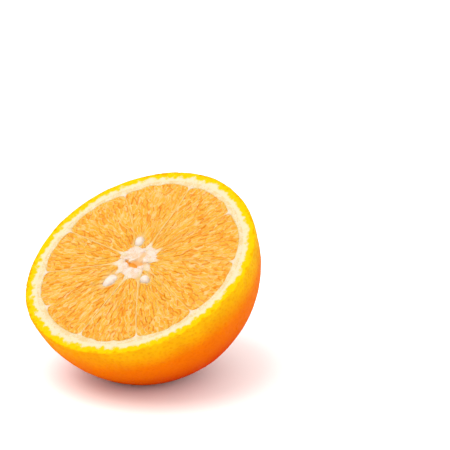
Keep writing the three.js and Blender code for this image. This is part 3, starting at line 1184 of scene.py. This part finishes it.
# %% Rind finish
def make_rind_finish():
    material, tree, shader, face = new_finish(
        "orange_rind",
        {
            "Subsurface Weight": 0.2,
            "Subsurface Radius": (1.0, 0.35, 0.05),
            "Subsurface Scale": 1.2 * MM,
            "Coat Roughness": 0.22,
            "Coat IOR": 1.3,
            "Specular IOR Level": 0.0,
        },
    )
    mottle = use_group(
        tree, mottle_group, {"Vector": face, "Coarse Size": 9.0, "Fine Size": 0.35}
    )
    place = add(tree, "ShaderNodeSeparateXYZ", {"Vector": face}).outputs
    depth = place["Z"]
    # Painted light: the skin yellows towards the cut, most on the +X shoulder, over its own orange.
    lit_shoulder_tone = blend(tree, between(tree, place["X"], -8, 26), colour("ffaa02"), colour("ffc80a"))
    skin = blend(tree, between(tree, depth, 0.0, -12.0), lit_shoulder_tone, colour("fa7a00"))
    # Painted shade: the skin deepens to red towards the underside, most on the lower side of the lean.
    deep = blend(tree, between(tree, place["Y"], -14, 12), colour("e63600"), colour("ee5c00"))
    deepest = blend(tree, between(tree, place["Y"], -14, 8), colour("bc2000"), colour("de4400"))
    skin = blend(tree, between(tree, depth, -10.0, -30.0), skin, deep)
    skin = blend(tree, between(tree, depth, -26.0, -42.0), skin, deepest)
    skin = wash(tree, skin, mottle["Coarse"], 0.3, "ea6c00")
    # Painted shade: darker in the pits, partly also the oil glands' own deeper colour.
    skin = wash(tree, skin, noted(tree, "pit"), 0.35, "e45c00")
    skin = wash(tree, skin, noted(tree, "scar"), 0.75, "8a6a35")

    cells = add(tree, "ShaderNodeTexVoronoi", {"Vector": face, "Scale": 0.56, "Randomness": 1.0})
    teeth = maths(tree, "MULTIPLY", maths(tree, "SUBTRACT", cells.outputs["Distance"], 0.45), 2.3)
    flecks = maths(tree, "MULTIPLY", maths(tree, "SUBTRACT", mottle["Fine"], 0.5), 0.6)
    inwards = maths(tree, "ADD", noted(tree, "from_skin"), maths(tree, "ADD", teeth, flecks))
    ring = blend(tree, between(tree, inwards, 0.0, 1.0), colour("f3aa03"), colour("f3ca08"))
    ring = blend(tree, between(tree, inwards, 2.1, 2.9), ring, colour("f0d582"))
    ring = blend(tree, between(tree, inwards, 2.4, 3.3), ring, colour("efdfb8"))
    on_ring = between(tree, noted(tree, "from_skin"), 0.02, 0.3)

    grainy = maths(tree, "ADD", maths(tree, "MULTIPLY", mottle["Fine"], 0.12), 0.36)
    surface = {
        "Base Color": blend(tree, on_ring, skin, ring),
        "Roughness": maths(tree, "ADD", grainy, maths(tree, "MULTIPLY", on_ring, 0.15)),
        "Coat Weight": between(tree, on_ring, 0.0, 1.0, 0.07, 0.04),
    }
    fill(tree, shader, surface)
    set_bump(tree, shader, mottle["Fine"], 0.06 * MM)
    return material


rind_finish = make_rind_finish()
print("rind finish:", len(rind_finish.node_tree.nodes), "nodes")

# %% [markdown]
# ### Pith, core and walls
#
# All three are the same spongy white tissue, each with its own two whites. The pith yellows a little
# beside the flesh. Where the core has split, the hollow is painted: tan as painted shade, and deeper
# in, orange as painted light from the flesh below. A wall is white where it leaves the core and the
# pith, and almost the colour of juice between them.

# %% Pith, core and wall finishes
def make_white_finish(name, grain_size, white, tint, glow):
    """Spongy white tissue, and the tree to add to. Glow is how far light runs in it, in metres."""
    material, tree, shader, face = new_finish(
        name,
        {
            "Subsurface Weight": 0.35,
            "Subsurface Radius": (1.0, 0.7, 0.4),
            "Subsurface Scale": glow,
            "Roughness": 0.6,
            "Specular IOR Level": 0.2,
            "Coat Weight": 0.06,
            "Coat Roughness": 0.3,
        },
    )
    tissue = use_group(
        tree,
        white_group,
        {"Vector": face, "Grain Size": grain_size, "White": colour(white), "Tint": colour(tint)},
    )
    set_bump(tree, shader, tissue["Grain"], 0.12 * MM)
    return material, tree, shader, tissue["Color"]


def make_pith_finish():
    material, tree, shader, base = make_white_finish(
        "white_pith", 0.5, "efdfba", "ebcc90", 0.6 * MM
    )
    near_flesh = between(tree, noted(tree, "inwards"), 0.72, 1.0)
    fill(tree, shader, {"Base Color": wash(tree, base, near_flesh, 0.3, "ecc674")})
    return material


def make_core_finish():
    material, tree, shader, base = make_white_finish(
        "core_white", 0.4, "f4e2d4", "ecc8a4", 0.6 * MM
    )
    slit = noted(tree, "slit")
    # Painted shade and light in the slits: tan where shallow, orange light from the flesh where deep.
    base = blend(tree, between(tree, slit, 0.03, 0.35), base, colour("efc28e"))
    base = blend(tree, between(tree, slit, 0.4, 0.75), base, colour("f59a1e"))
    rim = between(tree, noted(tree, "outwards"), 0.85, 1.0)
    fill(tree, shader, {"Base Color": wash(tree, base, rim, 0.5, "f0d090")})
    return material


def make_wall_finish():
    material, tree, shader, base = make_white_finish(
        "wall_white", 0.3, "f5e3cb", "eed2a6", 0.3 * MM
    )
    midway = between(tree, noted(tree, "midway"), 0.1, 0.9)
    juicy = blend(tree, noted(tree, "shows"), colour("f0a824"), colour("f5ce84"))
    fill(tree, shader, {"Base Color": blend(tree, midway, base, juicy)})
    return material


white_finishes = [make_pith_finish(), make_core_finish(), make_wall_finish()]
print("white finishes:", [finish.name for finish in white_finishes])

# %% [markdown]
# ### Flesh
#
# The sacs differ: most are a warm orange, some deep, and some pale, partly as painted highlight and
# partly as sacs empty of juice. Between two sacs lies either a pale skin, seen edge on, or a deep
# orange crease of painted shade, partly also the deeper colour of the sacs' sides, and a number that
# belongs to the pair decides which. Juice makes everything wet, so there is a clear coat that bends
# light as juice does, stronger in some places than in others.

# %% Flesh finish
def make_flesh_finish():
    material, tree, shader, face = new_finish(
        "orange_flesh",
        {
            "Subsurface Weight": 0.4,
            "Subsurface Radius": (1.0, 0.5, 0.12),
            "Subsurface Scale": 1.0 * MM,
            "Coat Roughness": 0.14,
            "Coat IOR": 1.33,
            "Specular IOR Level": 0.05,
        },
    )
    mottle = use_group(
        tree, mottle_group, {"Vector": face, "Coarse Size": 1.6, "Fine Size": 0.4}
    )
    tint = maths(
        tree, "ADD", noted(tree, "sac_tint"), maths(tree, "MULTIPLY", mottle["Coarse"], 0.45)
    )
    base = blend(tree, between(tree, tint, 0.0, 0.8), colour("ea9200"), colour("eeb030"))
    # Pale sacs: partly painted highlight, partly sacs empty of juice.
    base = blend(tree, between(tree, tint, 0.8, 1.5), base, colour("f3c67c"))
    # Painted shade: deep orange in the creases, partly also the deeper colour of the sacs' sides.
    base = blend(tree, noted(tree, "sac_gap_shade"), base, colour("e87e00"))
    base = wash(tree, base, noted(tree, "sac_skin"), 0.9, "f8da90")
    base = wash(tree, base, between(tree, noted(tree, "edge"), 0.35, 1.0), 0.25, "f2a628")
    surface = {
        # Paler round the pips: the pale tissue there, partly painted light over the pockets' shade.
        "Base Color": wash(tree, base, noted(tree, "near_pip"), 0.75, "f8d08a"),
        "Roughness": between(tree, mottle["Fine"], 0.0, 1.0, 0.24, 0.42),
        "Coat Weight": between(tree, mottle["Coarse"], 0.0, 1.0, 0.15, 0.5),
    }
    fill(tree, shader, surface)
    set_bump(tree, shader, mottle["Fine"], 0.08 * MM)
    return material


flesh_finish = make_flesh_finish()
print("flesh finish:", len(flesh_finish.node_tree.nodes), "nodes")

# %% [markdown]
# ### Pips
#
# A fresh pip is a smooth, damp ivory, a little browner at its point, and light sinks some way in.

# %% Pip finish
def make_pip_finish():
    material, tree, shader, face = new_finish(
        "pip_skin",
        {
            "Subsurface Weight": 0.25,
            "Subsurface Radius": (1.0, 0.7, 0.4),
            "Subsurface Scale": 1.2 * MM,
            "Roughness": 0.34,
            "Coat Weight": 0.3,
            "Coat Roughness": 0.15,
        },
    )
    mottle = use_group(
        tree, mottle_group, {"Vector": face, "Coarse Size": 1.4, "Fine Size": 0.25}
    )
    base = blend(tree, mottle["Coarse"], colour("eee0d3"), colour("e6ceb8"))
    point = between(tree, noted(tree, "along"), 0.55, 1.0)
    fill(tree, shader, {"Base Color": wash(tree, base, point, 0.5, "e6ca9c")})
    set_bump(tree, shader, mottle["Fine"], 0.03 * MM)
    return material


pip_finish = make_pip_finish()
print("pip finish:", len(pip_finish.node_tree.nodes), "nodes")

# %% [markdown]
# ## Putting it together
#
# Each piece gets its finish. Nothing in the fruit moves, so every piece rides on its one body. The
# pips stand for their own nodes, and all the rest stands for the half fruit.

# %% Put the finishes on, and let every piece ride on the fruit
pith_finish, core_finish, wall_finish = white_finishes
finishes = [
    ([rind], rind_finish, "orange_rind"),
    ([pith], pith_finish, "white_pith"),
    ([core], core_finish, "white_pith"),
    (walls, wall_finish, "white_pith"),
    (segments, flesh_finish, "orange_flesh"),
    (pips, pip_finish, "pip_skin"),
]
for pieces, material, slot in finishes:
    for piece in pieces:
        piece.data.materials.clear()
        piece.data.materials.append(material)
        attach(piece, "root")
        if piece not in pips:
            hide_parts("orange_half")
print("pieces:", sum(len(group[0]) for group in finishes))

# %% [markdown]
# ## Floor, light and camera
#
# A pale floor runs far past the view, and a bright pale room lies all round it. Two large soft lamps
# add to it: one above and in front of the face, and a weak one from the right, which brings out the
# pits of the rind. The camera has a long lens and stands well back, so the fruit's outline is hardly
# changed by its nearness.

# %% Floor
FLOOR_SIZE = 6.0
deselect()
bpy.ops.mesh.primitive_plane_add(size=FLOOR_SIZE)
floor = bpy.context.object
floor.name = "floor"
floor_material = bpy.data.materials.new("floor_white")
floor_material.use_nodes = True
floor_shader = floor_material.node_tree.nodes["Principled BSDF"]
floor_look = {"Base Color": (0.97, 0.97, 0.97, 1), "Roughness": 0.8, "Specular IOR Level": 0.2}
fill(floor_material.node_tree, floor_shader, floor_look)
floor.data.materials.append(floor_material)
print("floor, m across:", FLOOR_SIZE)

# %% Light
ROOM_LIGHT = 0.85
scene = bpy.context.scene
scene.view_settings.view_transform = "Standard"
world = bpy.data.worlds.new("pale_room")
world.use_nodes = True
room = {"Color": (1, 0.99, 0.97, 1), "Strength": ROOM_LIGHT * LIGHT_LEVEL}
fill(world.node_tree, world.node_tree.nodes["Background"], room)
scene.world = world

LAMPS_AIM = (0, 0, 0.03)
LAMPS = [
    # name, place in metres, size in metres, watts
    ("key", (-0.2, -0.35, 1.0), 0.9, 5.0),
    ("side", (0.85, -0.05, 0.45), 0.5, 0.5),
]


def aim(thing, target):
    """Turns a lamp or a camera towards a point."""
    away = Vector(target) - thing.location
    thing.rotation_mode = "QUATERNION"
    thing.rotation_quaternion = away.to_track_quat("-Z", "Y")


for name, place, size, watts in LAMPS:
    lamp = bpy.data.lights.new(name, "AREA")
    lamp.shape = "DISK"
    lamp.size = size
    lamp.energy = watts * LIGHT_LEVEL
    holder = bpy.data.objects.new(name, lamp)
    scene.collection.objects.link(holder)
    holder.location = place
    aim(holder, LAMPS_AIM)
print("lamps:", [lamp[0] for lamp in LAMPS])

# %% Camera
CAMERA_AZIMUTH = math.radians(38.4)
CAMERA_ELEVATION = math.radians(20)
CAMERA_DISTANCE = 0.68
LENS = 165.0
AIM_RIGHT = 0.0284              # how far right of and above the face's middle the camera looks
AIM_UP = 0.0112

back = Vector(
    (
        math.sin(CAMERA_AZIMUTH) * math.cos(CAMERA_ELEVATION),
        -math.cos(CAMERA_AZIMUTH) * math.cos(CAMERA_ELEVATION),
        math.sin(CAMERA_ELEVATION),
    )
)
right = Vector((math.cos(CAMERA_AZIMUTH), math.sin(CAMERA_AZIMUTH), 0))
up = back.cross(right)
camera_data = bpy.data.cameras.new("camera")
camera_data.lens = LENS
camera_data.sensor_width = 36.0
camera_data.clip_start = 0.01
camera = bpy.data.objects.new("camera", camera_data)
scene.collection.objects.link(camera)
camera.location = face_middle + back * CAMERA_DISTANCE
aim(camera, face_middle + right * AIM_RIGHT + up * AIM_UP)
scene.camera = camera
print("camera at, mm:", [round(x / MM) for x in camera.location])
